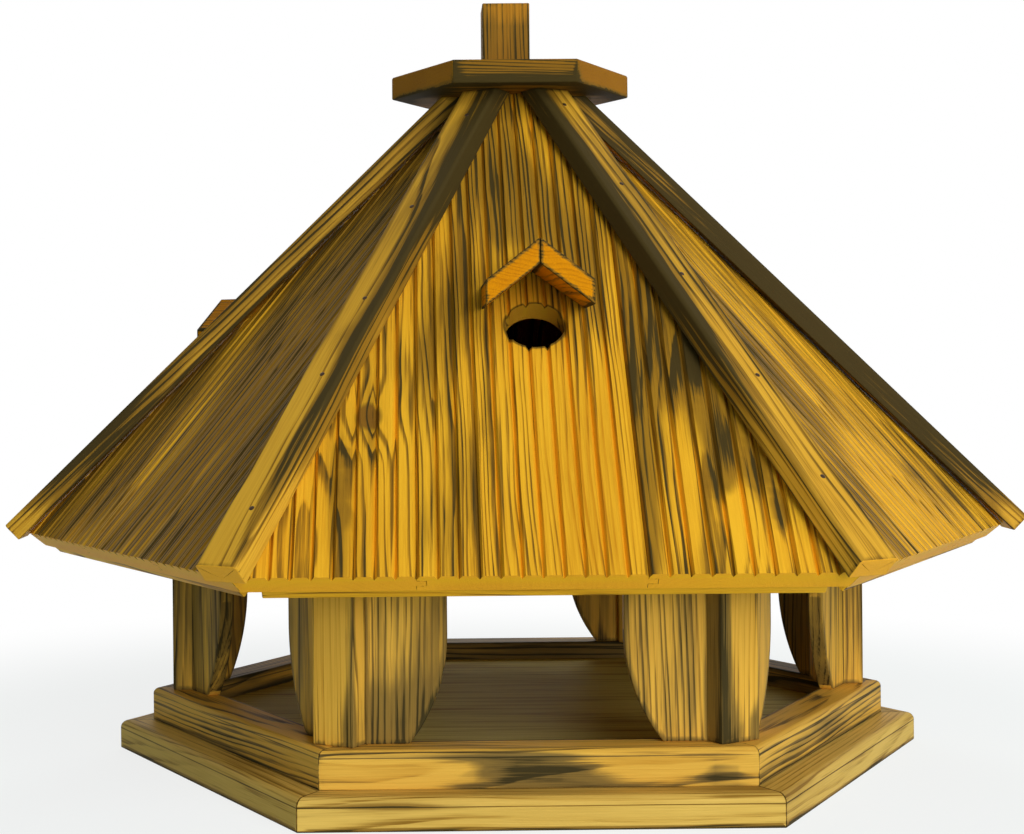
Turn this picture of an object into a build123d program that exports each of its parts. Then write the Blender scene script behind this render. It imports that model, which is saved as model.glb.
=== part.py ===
from build123d import *
import math
import os

# Hexagonal bird feeder of flamed pine: an open feeding tray below, a nest space in the roof above.
# The front side faces -Y, two corners lie on the X axis, the underside of the base is at zero height.

# Plan
sides = 6
half_turn = 180 / sides
side_turn = 360 / sides

# Base frame of six mitred boards
base_radius = 265.0
base_width = 72.0
base_thick = 18.5
base_round = 5.0

# Rim of the tray, set in from the edge of the base
rim_set_in = 22.0
rim_width = 27.0
rim_height = 21.5
rim_round = 4.0

# Tray floor inside the rim
floor_thick = 9.0
floor_gap = 0.3

# Corner posts and their curved wings
post_set_in = 15.0
post_width = 27.0
post_depth = 30.0
post_height = 152.0
wing_thick = 9.5
wing_set_back = 12.5
wing_show = 46.5
wing_curve_height = 62.0
wing_curve_radius = 100.0

# Ceiling board that closes the roof space
ceiling_thick = 12.0

# Roof of six panels
eave_overhang = 51.9
eave_above_rim = 103.9
roof_slope = 48.1
board_thick = 12.5
roof_top_apothem = 24.6
roof_mitre_gap = 0.3

# Tongue-and-groove boards of a panel, measured from the middle of the panel
seam_left = -66.4
seam_right = 52.7
seam_gap = 0.3
tongue_long = 5.0
tongue_thick = 4.0

# V-grooves planed along the faces of the boards, one on each seam
ribs_a_board = 11
groove_width = 3.6
groove_depth = 3.0
cut_overrun = 1.0

# Entrance hole, measured up the slope from the eave and aside from the middle of the panel
hole_diameter = 34.5
front_hole_up = 176.0
front_hole_aside = 2.8
back_hole_up = 152.0
back_hole_aside = 0.0

# Cleat across the underside of a panel
cleat_thick = 8.0
cleat_width = 14.0
cleat_set_back = 1.5
cleat_end_gap = 1.0

# Hip battens: plain flat bars laid over the mitres
hip_width = 26.0
hip_thick = 13.2
hip_gap = 0.3
hip_chamfer = 1.5
front_hip_overhang = 3.2
side_hip_overhang = 5.5
back_hip_overhang = 4.5

# Cap board and peg
cap_radius = 78.8
cap_thick = 15.0
cap_round = 1.5
cap_off_middle = 1.7
peg_width = 31.0
peg_height = 46.0
peg_off_middle = 4.7

# Small gabled canopy over an entrance hole, measured from the middle of the hole
front_canopy_reach = 53.0
back_canopy_reach = 61.0
canopy_rise = 46.7
canopy_half = 30.0
canopy_pitch = 37.5
canopy_thick = 11.3
canopy_gap = 0.3

# Places around the plan, as angles from the front toward the right
side_angles = {
    "front": 0,
    "front_right": side_turn,
    "back_right": 2 * side_turn,
    "back": 3 * side_turn,
    "back_left": 4 * side_turn,
    "front_left": 5 * side_turn,
}
corner_angles = {
    "front_right": half_turn,
    "right": half_turn + side_turn,
    "back_right": half_turn + 2 * side_turn,
    "back_left": half_turn + 3 * side_turn,
    "left": half_turn + 4 * side_turn,
    "front_left": half_turn + 5 * side_turn,
}
# Entrances: aside from the middle, up the slope, and how far the canopy reaches out
entrances = {
    "front": (front_hole_aside, front_hole_up, front_canopy_reach),
    "back_right": (back_hole_aside, back_hole_up, back_canopy_reach),
    "back_left": (back_hole_aside, back_hole_up, back_canopy_reach),
}
hip_overhangs = {
    "front_right": front_hip_overhang,
    "right": side_hip_overhang,
    "back_right": back_hip_overhang,
    "back_left": back_hip_overhang,
    "left": side_hip_overhang,
    "front_left": front_hip_overhang,
}

# Derived sizes
cos_half = math.cos(math.radians(half_turn))
tan_half = math.tan(math.radians(half_turn))
slope_sin = math.sin(math.radians(roof_slope))
slope_cos = math.cos(math.radians(roof_slope))
slope_tan = math.tan(math.radians(roof_slope))
base_apothem = base_radius * cos_half
rim_radius = base_radius - rim_set_in
rim_apothem = rim_radius * cos_half
rim_inside = rim_apothem - rim_width
rim_top = base_thick + rim_height
post_face = rim_radius - post_set_in
post_top = rim_top + post_height
ceiling_top = post_top + ceiling_thick
eave_apothem = base_apothem + eave_overhang
eave_height = rim_top + eave_above_rim
eave_corner = eave_apothem / cos_half
roof_top = eave_height + (eave_apothem - roof_top_apothem) * slope_tan
cap_top = roof_top + cap_thick
hip_angle = math.degrees(math.atan(slope_tan * cos_half))


def roof_apothem(height, depth):
    """Distance of a panel plane from the axis, at a height and a depth below the outer face."""
    return eave_apothem - (height - eave_height) / slope_tan - depth / slope_sin


def hexagon(apothem, height):
    """Flat hexagon with one side toward the front."""
    return Pos(0, 0, height) * RegularPolygon(apothem / cos_half, sides)


def pyramid(depth, low, high):
    """Solid bounded by the six panel planes, between two heights."""
    return loft([hexagon(roof_apothem(low, depth), low), hexagon(roof_apothem(high, depth), high)])


def turned(piece, angle):
    """Piece of the front side brought to another place around the axis."""
    return Rot(0, 0, angle) * piece


# The sector of the plan that belongs to the front side
reach = 2 * eave_corner
sector_line = Polyline((0, 0), (reach * tan_half, -reach), (-reach * tan_half, -reach), close=True)
front_sector = extrude(make_face(sector_line), amount=2 * roof_top)

# The same sector a hairline smaller, for pieces of the roof that meet along the hips
roof_sector = Pos(0, -roof_mitre_gap, 0) * front_sector

# Outer surface of the roof, carried a little past the eave
roof_body = pyramid(0, eave_height - cap_radius, roof_top)


def mitred_board(apothem, width, bottom, height, rounding):
    """Board along the front side, upper outer edge rounded, both ends cut to the mitre."""
    section = Plane.YZ * Pos(width / 2 - apothem, bottom + height / 2) * Rectangle(width, height)
    bar = extrude(section, amount=apothem, both=True)
    edge = bar.edges().filter_by(Axis.X).group_by(Axis.Z)[-1].sort_by(Axis.Y)[0]
    return fillet(edge, rounding) & front_sector


base_board = mitred_board(base_apothem, base_width, 0, base_thick, base_round)
rim_board = mitred_board(rim_apothem, rim_width, base_thick, rim_height, rim_round)

tray_floor = extrude(hexagon(rim_inside - floor_gap, base_thick), amount=floor_thick)

# Post of a corner, drawn as if the corner lay toward the front
post_middle = post_face - post_depth / 2
corner_post = Pos(0, -post_middle, rim_top + post_height / 2) * Box(post_width, post_depth, post_height)

# Wings of a corner: one is drawn on the front side and turned half a side, the other mirrored
wing_corner = post_face - wing_set_back
wing_apothem = wing_corner * cos_half + post_width / 2 * math.sin(math.radians(half_turn))
wing_end = wing_corner * math.sin(math.radians(half_turn)) - post_width / 2 * cos_half
wing_in = wing_end - wing_show
curve_drop = math.asin(wing_curve_height / wing_curve_radius)
curve_start = rim_top + wing_curve_height
curve_middle = (
    wing_in + wing_curve_radius * (1 - math.cos(curve_drop / 2)),
    curve_start - wing_curve_radius * math.sin(curve_drop / 2),
)
curve_end = (wing_in + wing_curve_radius * (1 - math.cos(curve_drop)), rim_top)
wing_line = [
    Line((wing_in, post_top), (wing_in, curve_start)),
    ThreePointArc((wing_in, curve_start), curve_middle, curve_end),
    Line(curve_end, (wing_end + post_width / 2, rim_top)),
    Line((wing_end + post_width / 2, rim_top), (wing_end + post_width / 2, post_top)),
    Line((wing_end + post_width / 2, post_top), (wing_in, post_top)),
]
wing_face = make_face(Plane.XZ * Wire(wing_line))
wing_plate = Pos(0, wing_thick - wing_apothem, 0) * extrude(wing_face, amount=wing_thick, dir=(0, -1, 0))
post_room = Pos(0, -post_middle, rim_top + post_height / 2) * Box(post_width, post_face, 2 * post_height)
right_wing = turned(wing_plate, -half_turn) - post_room
left_wing = mirror(right_wing, about=Plane.YZ)
corner_wings = Compound(children=[Part(right_wing.solids()), Part(left_wing.solids())])

ceiling_board = pyramid(board_thick, post_top, ceiling_top)

# Panel of the front side, square at the eave and level at the top
top_outside = roof_apothem(roof_top, 0)
top_inside = roof_apothem(roof_top, board_thick)
panel_line = Polyline(
    (-eave_apothem, eave_height),
    (board_thick * slope_sin - eave_apothem, eave_height - board_thick * slope_cos),
    (-top_inside, roof_top),
    (-top_outside, roof_top),
    close=True,
)
panel_blank = extrude(make_face(Plane.YZ * panel_line), amount=eave_apothem, both=True) & roof_sector

# Sloping plane of the panel: x along the eave, y up the slope, z outward
panel_plane = Plane(
    origin=(0, -eave_apothem, eave_height), x_dir=(1, 0, 0), z_dir=(0, -slope_sin, slope_cos)
)
panel_long = 2 * roof_top


def panel_block(left, right, bottom, top):
    """Block over the whole length of the panel, between two lateral lines and two depths."""
    place = Pos((left + right) / 2, 0, (bottom + top) / 2)
    return panel_plane * place * Box(right - left, panel_long, top - bottom)


# Profiles of the V-grooves, x along the eave and y into the wood, swept up the slope and past both ends
groove_plane = Plane(
    origin=(0, -eave_apothem, eave_height), x_dir=(1, 0, 0), z_dir=(0, slope_cos, slope_sin)
)
groove_pitch = (seam_right - seam_left) / ribs_a_board
groove_mouth = groove_width / 2 * (groove_depth + cut_overrun) / groove_depth
eave_half = eave_apothem * tan_half
first_groove = math.ceil((-eave_half - seam_left) / groove_pitch)
last_groove = math.floor((eave_half - seam_left) / groove_pitch)


def groove(number):
    """One V-groove over the whole length of the panel, counted from the left seam."""
    middle = seam_left + number * groove_pitch
    outline = Polyline(
        (middle - groove_mouth, -cut_overrun),
        (middle + groove_mouth, -cut_overrun),
        (middle, groove_depth),
        close=True,
    )
    return extrude(make_face(groove_plane * outline), amount=panel_long, both=True)


ribbed_blank = panel_blank - [groove(number) for number in range(first_groove, last_groove + 1)]

tongue_low = -(board_thick + tongue_thick) / 2
tongue_high = tongue_low + tongue_thick


def tongue(seam, play):
    """Tongue on the right edge of a board, with play all round for its groove."""
    return panel_block(
        seam - seam_gap, seam + tongue_long + play, tongue_low - play, tongue_high + play
    )


def panel_boards(blank):
    """The three boards of a panel, tongue in groove with a hairline gap."""
    far = eave_apothem
    deep = 2 * board_thick
    half_gap = seam_gap / 2
    left = blank & (panel_block(-far, seam_left - half_gap, -deep, deep) + tongue(seam_left, 0))
    middle = blank & panel_block(seam_left + half_gap, seam_right - half_gap, -deep, deep)
    middle = middle + (blank & tongue(seam_right, 0)) - tongue(seam_left, seam_gap)
    right = blank & panel_block(seam_right + half_gap, far, -deep, deep)
    right = right - tongue(seam_right, seam_gap)
    return Compound(children=[Part(board.solids()) for board in (left, middle, right)])


closed_panel = panel_boards(ribbed_blank)


def nest_panel(aside, hole_up):
    """Panel with its entrance hole bored square to the boards."""
    bore = panel_plane * Pos(aside, hole_up, 0) * Cylinder(hole_diameter / 2, panel_long)
    return panel_boards(ribbed_blank - bore)



# Cleat across the boards, square ends just short of the neighbouring cleats
cleat_bottom = board_thick + cleat_thick
cleat_high = cleat_set_back + cleat_width
cleat_apothem = eave_apothem - cleat_high * slope_cos - cleat_bottom * slope_sin
cleat_long = 2 * (cleat_apothem * tan_half - cleat_end_gap)
cleat_place = Pos(0, cleat_set_back + cleat_width / 2, -board_thick - cleat_thick / 2)
eave_cleat = panel_plane * cleat_place * Box(cleat_long, cleat_width, cleat_thick)

# Hip batten, drawn as if its corner lay toward the front, resting on the ridge where two panels meet
hip_plane = Plane(
    origin=(0, -eave_corner, eave_height),
    x_dir=(1, 0, 0),
    z_dir=(0, -math.sin(math.radians(hip_angle)), math.cos(math.radians(hip_angle))),
)
hip_long = roof_top / math.sin(math.radians(hip_angle))
hip_bar = Box(hip_width, hip_long, hip_thick)
hip_bar = chamfer(hip_bar.edges().filter_by(Axis.Y).group_by(Axis.Z)[-1], hip_chamfer)
below_cap = Pos(0, 0, roof_top / 2) * Box(2 * reach, 2 * reach, roof_top)


def hip_batten(overhang):
    """Batten over a hip, sawn square past the eave and level under the cap."""
    place = Pos(0, hip_long / 2 - overhang, hip_gap + hip_thick / 2)
    return (hip_plane * place * hip_bar) & below_cap & roof_sector


cap_blank = Pos(-cap_off_middle, 0, 0) * extrude(hexagon(cap_radius * cos_half, roof_top), amount=cap_thick)
roof_cap = fillet(cap_blank.edges().group_by(Axis.Z)[-1], cap_round)
cap_peg = Pos(-peg_off_middle, 0, cap_top + peg_height / 2) * Box(peg_width, peg_width, peg_height)

pitch_tan = math.tan(math.radians(canopy_pitch))
canopy_tall = canopy_thick / math.cos(math.radians(canopy_pitch))


def canopy(aside, hole_up, canopy_reach):
    """Two boards over an entrance hole, mitred at the ridge and cut to the roof behind."""
    ridge = eave_height + hole_up * slope_sin + canopy_rise
    front = eave_apothem - hole_up * slope_cos + canopy_reach
    near = canopy_gap / 2
    high = ridge - near * pitch_tan
    low = ridge - canopy_half * pitch_tan
    outline = Polyline(
        (near, high),
        (canopy_half, low),
        (canopy_half, low - canopy_tall),
        (near, high - canopy_tall),
        close=True,
    )
    bar = extrude(make_face(Plane.XZ * outline), amount=front, dir=(0, -1, 0))
    right = bar - roof_body
    left = mirror(right, about=Plane.YZ)
    return Pos(aside, 0, 0) * Compound(children=[Part(right.solids()), Part(left.solids())])


# One file a piece
pieces = {
    "tray_floor": tray_floor,
    "ceiling_board": ceiling_board,
    "roof_cap": roof_cap,
    "cap_peg": cap_peg,
}
for name, angle in side_angles.items():
    pieces["base_board_" + name] = turned(base_board, angle)
    pieces["rim_board_" + name] = turned(rim_board, angle)
    if name in entrances:
        aside, hole_up, canopy_reach = entrances[name]
        pieces["roof_panel_" + name] = turned(nest_panel(aside, hole_up), angle)
        pieces["canopy_" + name] = turned(canopy(aside, hole_up, canopy_reach), angle)
    else:
        pieces["roof_panel_" + name] = turned(closed_panel, angle)
for name, angle in corner_angles.items():
    pieces["corner_post_" + name] = turned(corner_post, angle)
    pieces["post_wings_" + name] = turned(corner_wings, angle)
    pieces["hip_batten_" + name] = turned(hip_batten(hip_overhangs[name]), angle)
cleats = [turned(eave_cleat, angle) for angle in side_angles.values()]
pieces["eave_cleats"] = Compound(children=[Part(cleat.solids()) for cleat in cleats])

os.makedirs("parts", exist_ok=True)
for name, piece in pieces.items():
    export_step(piece, "parts/" + name + ".step")
    print(name, len(piece.solids()), "solid,", round(piece.volume), "mm3")
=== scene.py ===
# %% [markdown]
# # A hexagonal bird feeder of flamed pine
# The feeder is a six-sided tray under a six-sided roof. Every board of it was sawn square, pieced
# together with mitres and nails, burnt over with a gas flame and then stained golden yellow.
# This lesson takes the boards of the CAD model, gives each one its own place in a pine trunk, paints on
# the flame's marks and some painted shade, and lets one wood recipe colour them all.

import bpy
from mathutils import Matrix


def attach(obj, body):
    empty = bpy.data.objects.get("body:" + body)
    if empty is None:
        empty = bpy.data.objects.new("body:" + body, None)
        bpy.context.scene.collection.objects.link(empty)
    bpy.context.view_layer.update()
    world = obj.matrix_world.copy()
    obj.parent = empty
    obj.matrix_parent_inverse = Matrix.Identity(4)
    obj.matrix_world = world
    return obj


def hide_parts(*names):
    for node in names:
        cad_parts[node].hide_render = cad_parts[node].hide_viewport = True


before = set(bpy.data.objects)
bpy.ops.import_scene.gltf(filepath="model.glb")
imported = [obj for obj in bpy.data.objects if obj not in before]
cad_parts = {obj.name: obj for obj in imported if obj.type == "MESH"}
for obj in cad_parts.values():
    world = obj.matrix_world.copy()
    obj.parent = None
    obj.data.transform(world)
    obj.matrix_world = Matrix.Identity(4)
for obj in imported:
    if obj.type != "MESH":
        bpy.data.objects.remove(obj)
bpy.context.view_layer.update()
print("boards and pieces from the CAD model:", len(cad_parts))

# %% Tools for the lesson
import functools
import math
import random

import bmesh
import bpy
import numpy as np
from mathutils import Matrix, Vector

MM = 0.001
FAR_AWAY = 9999
SIDES = 6
SIDE_TURN = 360 / SIDES
HALF_TURN = SIDE_TURN / 2
scene = bpy.context.scene
side_angles = {
    "front": 0, "front_right": 60, "back_right": 120, "back": 180, "back_left": 240, "front_left": 300,
}
corner_angles = {
    "front_right": 30, "right": 90, "back_right": 150, "back_left": 210, "left": 270, "front_left": 330,
}

# %% [markdown]
# ## The camera
# The picture was taken from a little over a metre in front of the feeder, at half its height and
# a hand's breadth to the left of the middle. A camera can be aimed with a constraint, but three plain angles
# are easier to read and to correct: yaw to the right, pitch upwards, and the roll of the hand.

# %% Set up the camera
IMAGE_WIDTH, IMAGE_HEIGHT = 1024, 834
focal_pixels = 1791.5
optical_axis = (428.8, 383.7)
camera_place = Vector((-64.7, -1195.6, 247.2)) * MM
yaw, pitch, roll = (math.radians(angle) for angle in (0.344, -0.304, 0.518))

forward = Vector((math.sin(yaw) * math.cos(pitch), math.cos(yaw) * math.cos(pitch), math.sin(pitch)))
level = Vector((math.cos(yaw), -math.sin(yaw), 0))
upright = level.cross(forward)
camera_right = level * math.cos(roll) - upright * math.sin(roll)
camera_up = level * math.sin(roll) + upright * math.cos(roll)

camera_data = bpy.data.cameras.new("camera")
camera_data.sensor_width = 36
camera_data.lens = camera_data.sensor_width * focal_pixels / IMAGE_WIDTH
camera_data.shift_x = (IMAGE_WIDTH / 2 - optical_axis[0]) / IMAGE_WIDTH
camera_data.shift_y = (optical_axis[1] - IMAGE_HEIGHT / 2) / IMAGE_WIDTH
camera = bpy.data.objects.new("camera", camera_data)
camera.matrix_world = Matrix.Translation(camera_place) @ Matrix(
    (camera_right, camera_up, -forward)
).transposed().to_4x4()
scene.collection.objects.link(camera)
scene.camera = camera
print("lens in mm:", round(camera_data.lens, 1))

# %% [markdown]
# ## One helper for every node
# Shader trees and geometry trees are built from the same three things: a kind of node, its settings,
# and its inputs. An input is either a plain value or the output of another node, so one helper does for all.

# %% The node helper and the colour helper
def add_node(tree, kind, inputs=(), **settings):
    """Adds a node, sets it, fills its inputs with values or links, and hands back its outputs."""
    node = tree.nodes.new(kind)
    for name, value in settings.items():
        setattr(node, name, value)
    for socket, value in inputs.items() if isinstance(inputs, dict) else enumerate(inputs):
        if isinstance(value, bpy.types.NodeSocket):
            tree.links.new(value, node.inputs[socket])
        else:
            node.inputs[socket].default_value = value
    return node.outputs


def linear(hex_colour):
    """An sRGB hex colour as the linear RGBA that a shader expects."""
    levels = [int(hex_colour[i:i + 2], 16) / 255 for i in (1, 3, 5)]
    return [v / 12.92 if v <= 0.04045 else ((v + 0.055) / 1.055) ** 2.4 for v in levels] + [1.0]


def new_material(name):
    """An empty material with its node tree and the node helper bound to that tree."""
    material = bpy.data.materials.new(name)
    material.use_nodes = True
    material.node_tree.nodes.clear()
    return material, functools.partial(add_node, material.node_tree)


print("golden pine in linear light:", [round(v, 3) for v in linear("#E6A827")])

# %% [markdown]
# ## Studio
# The feeder stands on a pale floor that runs out into white. A curved paper sweep would do it too, but
# a round floor whose material fades to white with distance keeps the soft shadow near the
# feeder and leaves no horizon. The main light is a wide soft box in front on the right, so the left-hand
# sides fall into shade as they do on the real one. A low light fills in under the eaves, a small one behind
# shows the back sides, and the white room does the rest.

# %% Floor, lights and white room
FLOOR_RADIUS = 4.0
FADE_START, FADE_END = 0.36, 0.75
floor_mesh = bpy.data.meshes.new("floor")
floor_bm = bmesh.new()
bmesh.ops.create_circle(floor_bm, cap_ends=True, segments=96, radius=FLOOR_RADIUS)
floor_bm.to_mesh(floor_mesh)
floor_bm.free()
floor = bpy.data.objects.new("floor", floor_mesh)
scene.collection.objects.link(floor)


def seen_by_eye(put):
    """One for rays that the eye sees, straight or in a shine; nought for rays that only carry light."""
    rays = put("ShaderNodeLightPath")
    seen = rays["Is Camera Ray"]
    for kind in ("Is Glossy Ray", "Is Transmission Ray"):
        seen = put("ShaderNodeMath", [seen, rays[kind]], operation="MAXIMUM")[0]
    return seen


# Paper is matt and nearly white. Near the feeder it keeps a pale shadow; far off the eye sees only white.
NEAR_WHITE = 0.8
paper, put = new_material("white paper floor")
where = put("ShaderNodeTexCoord")["Object"]
distance = put("ShaderNodeVectorMath", [where], operation="LENGTH")["Value"]
fade = put("ShaderNodeMapRange", {
    "Value": distance, "From Min": FADE_START, "From Max": FADE_END, "To Min": NEAR_WHITE,
}, interpolation_type="SMOOTHSTEP")[0]
seen_white = put("ShaderNodeMath", [seen_by_eye(put), fade], operation="MULTIPLY")[0]
matt = put("ShaderNodeBsdfDiffuse", {"Color": linear("#DDF0EC")})[0]
white = put("ShaderNodeEmission", {"Color": linear("#FFFFFF"), "Strength": 1.0})[0]
put("ShaderNodeOutputMaterial", [put("ShaderNodeMixShader", [seen_white, matt, white])[0]])
floor_mesh.materials.append(paper)

ROOM_FILL = 0.18
ROOM_SHADE = "#D6EEE4"
world = bpy.data.worlds.new("white room")
world.use_nodes = True
world.node_tree.nodes.clear()
scene.world = world
put = functools.partial(add_node, world.node_tree)
direct = seen_by_eye(put)
strength = put("ShaderNodeMapRange", {"Value": direct, "To Min": ROOM_FILL, "To Max": 1.0})[0]
tint = put("ShaderNodeMix", {0: direct, 6: linear(ROOM_SHADE), 7: linear("#FFFFFF")}, data_type="RGBA")[2]
put("ShaderNodeOutputWorld", [put("ShaderNodeBackground", [tint, strength])[0]])


def soft_box(name, place, aim, size, power):
    """A square soft light at a place, turned toward an aim."""
    light = bpy.data.lights.new(name, "AREA")
    light.energy = power
    light.size = size
    lamp = bpy.data.objects.new(name, light)
    lamp.location = place
    lamp.rotation_euler = (Vector(aim) - Vector(place)).to_track_quat("-Z", "Y").to_euler()
    scene.collection.objects.link(lamp)


soft_box("main soft box", (0.97, -1.9, 1.11), aim=(0, 0, 0.25), size=1.7, power=35)
soft_box("low front fill", (0.6, -2.2, 0.25), aim=(0, 0, 0.12), size=1.0, power=18)
soft_box("back light", (0, 2.2, 1.9), aim=(0, 0, 0.25), size=0.9, power=20)
print("lights:", len(bpy.data.lights), "soft boxes and a white room")

# %% [markdown]
# ## Where each board comes from
# Wood grain isn't a picture on a face: it is a slice through the year rings of a trunk. So every board gets
# its own bench frame, with x across it, y along its fibres and z out of its face, and a place in the trunk.
# The wood recipe then reads the trunk coordinates in millimetres, and face, edge and end grain agree.

# %% Sizes of the feeder that the frames need, in millimetres
eave_apothem = 281.4
eave_height = 143.9
roof_slope = math.radians(48.1)
hip_angle = math.atan(math.tan(roof_slope) * math.cos(math.radians(HALF_TURN)))
eave_corner = eave_apothem / math.cos(math.radians(HALF_TURN))
hip_rise = 13.5
canopy_pitch = math.radians(37.5)
seam_left, seam_right = -66.4, 52.7
groove_depth = 3.0
hole_radius = 17.25
hole_place = {"front": (2.8, 176.0), "back_right": (0.0, 152.0), "back_left": (0.0, 152.0)}
print("hips rise at", round(math.degrees(hip_angle), 1), "degrees")


# %% Bench frames
def bench(origin, along, out, angle=0.0):
    """Frame of a board that was drawn on the front side and turned to its place: x across, y along, z out."""
    along, out = Vector(along), Vector(out)
    axes = Matrix((along.cross(out), along, out)).transposed().to_4x4()
    return Matrix.Rotation(math.radians(angle), 4, "Z") @ Matrix.Translation(Vector(origin) * MM) @ axes


def slope_axes(slope):
    """The directions up a slope and out of it, for a slope that faces the front."""
    return Vector((0, math.cos(slope), math.sin(slope))), Vector((0, -math.sin(slope), math.cos(slope)))


def panel_frame(angle):
    """Middle of a panel's eave, y up the slope."""
    return bench((0, -eave_apothem, eave_height), *slope_axes(roof_slope), angle)


def board_frames(node):
    """The bench frames and names of a node's boards, ordered from left to right as seen from outside."""
    kind = next((k for k in (
        "base_board", "rim_board", "roof_panel", "canopy", "corner_post", "post_wings", "hip_batten",
    ) if node.startswith(k)), node)
    spot = node[len(kind) + 1:]
    middle, right, front, up = (0, 0, 0), (1, 0, 0), (0, -1, 0), (0, 0, 1)
    if kind in ("base_board", "rim_board"):
        return [(node, bench(middle, right, front, side_angles[spot]))]
    if kind == "roof_panel":
        return [(node + "." + part, panel_frame(side_angles[spot])) for part in ("left", "middle", "right")]
    if kind == "canopy":
        aside, rise = math.sin(canopy_pitch), math.cos(canopy_pitch)
        return [
            (node + ".left", bench(middle, front, (-aside, 0, rise), side_angles[spot])),
            (node + ".right", bench(middle, front, (aside, 0, rise), side_angles[spot])),
        ]
    if kind == "corner_post":
        return [(node, bench(middle, up, front, corner_angles[spot]))]
    if kind == "post_wings":
        return [
            (node + ".left", bench(middle, up, front, corner_angles[spot] - HALF_TURN)),
            (node + ".right", bench(middle, up, front, corner_angles[spot] + HALF_TURN)),
        ]
    if kind == "hip_batten":
        return [(node, bench((0, -eave_corner, eave_height), *slope_axes(hip_angle), corner_angles[spot]))]
    if kind == "eave_cleats":
        return [(node + "." + side, bench(middle, right, front, turn)) for side, turn in side_angles.items()]
    if kind == "cap_peg":
        return [(node, bench(middle, up, front))]
    return [(node, bench(middle, right, up))]


print("boards:", sum(len(board_frames(node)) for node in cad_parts))

# %% [markdown]
# ## The trunk
# Where a board lay in the trunk decides its figure. Near the bark, the rings run flat under the face and
# draw tall arches; a board through the middle shows straight lines. Each board draws its place with a fixed
# seed, and the boards with a figure worth copying are listed: the distance from the heart to the side,
# the distance below the face, and the place along the trunk, all in millimetres.

# %% Places in the trunk and the knot
draw = random.Random(20)
trunk_place = {
    "roof_panel_front.left": (-108, -34, 40),
    "roof_panel_front.middle": (-128, -30, 120),
    "roof_panel_front.right": (98, -26, 300),
    "roof_panel_front_left.left": (-520, -40, 700),
    "roof_panel_front_left.middle": (-380, -60, 200),
    "roof_panel_front_left.right": (-300, -40, 900),
    "roof_panel_front_right.left": (300, -40, 500),
    "roof_panel_front_right.middle": (330, -50, 1200),
    "roof_panel_front_right.right": (420, -40, 100),
    "rim_board_front": (-24, -24, 60),
    "rim_board_front_right": (-95, -14, 400),
    "rim_board_front_left": (-150, -30, 800),
    "post_wings_front_left.right": (-140, -20, 50),
    "post_wings_front_right.left": (-150, -10, 500),
    "corner_post_front_left": (-110, -30, 200),
    "corner_post_front_right": (-120, -40, 900),
    "canopy_front.left": (0, -150, 30),
    "canopy_front.right": (0, -150, 90),
    "roof_cap": (60, -40, 0),
    "cap_peg": (-120, -6, 0),
}
# The middle of a knot in the bench frame, and its radius.
knots = {
    "roof_panel_front.left": (-92, 108, 7),
}
print("boards with a place set by hand:", len(trunk_place))
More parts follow.
